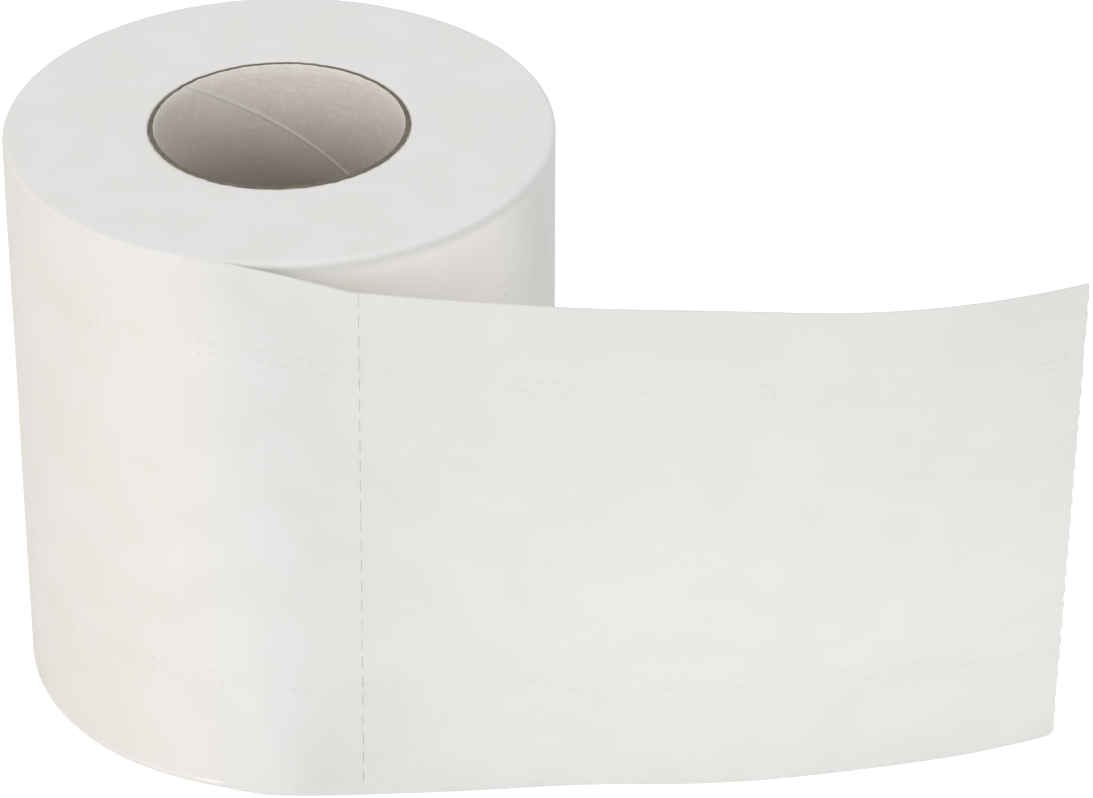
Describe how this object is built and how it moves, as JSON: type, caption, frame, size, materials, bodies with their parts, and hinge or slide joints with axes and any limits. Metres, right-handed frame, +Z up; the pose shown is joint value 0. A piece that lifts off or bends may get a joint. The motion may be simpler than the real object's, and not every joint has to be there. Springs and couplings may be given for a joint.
{
  "type": "toilet paper roll",
  "caption": "Toilet paper roll on a cardboard core, standing on its end with one sheet pulled out to its perforation line and torn end.",
  "frame": {"origin": "on the roll's axis, at the lower end of the core's bore, level with the lower end face", "axes": "+Z up the roll's axis, +X along the pulled sheet, so -Y is the side that the sheet leaves from"},
  "size_m": [0.1705, 0.0997, 0.1],
  "materials": {
    "core_board": "raw grey board, spirally wound",
    "tissue_paper": "soft white creped tissue, two plies"
  },
  "bodies": {
    "root": {"core_tube": "core_board", "paper_web": "tissue_paper"}
  },
  "joints": []
}
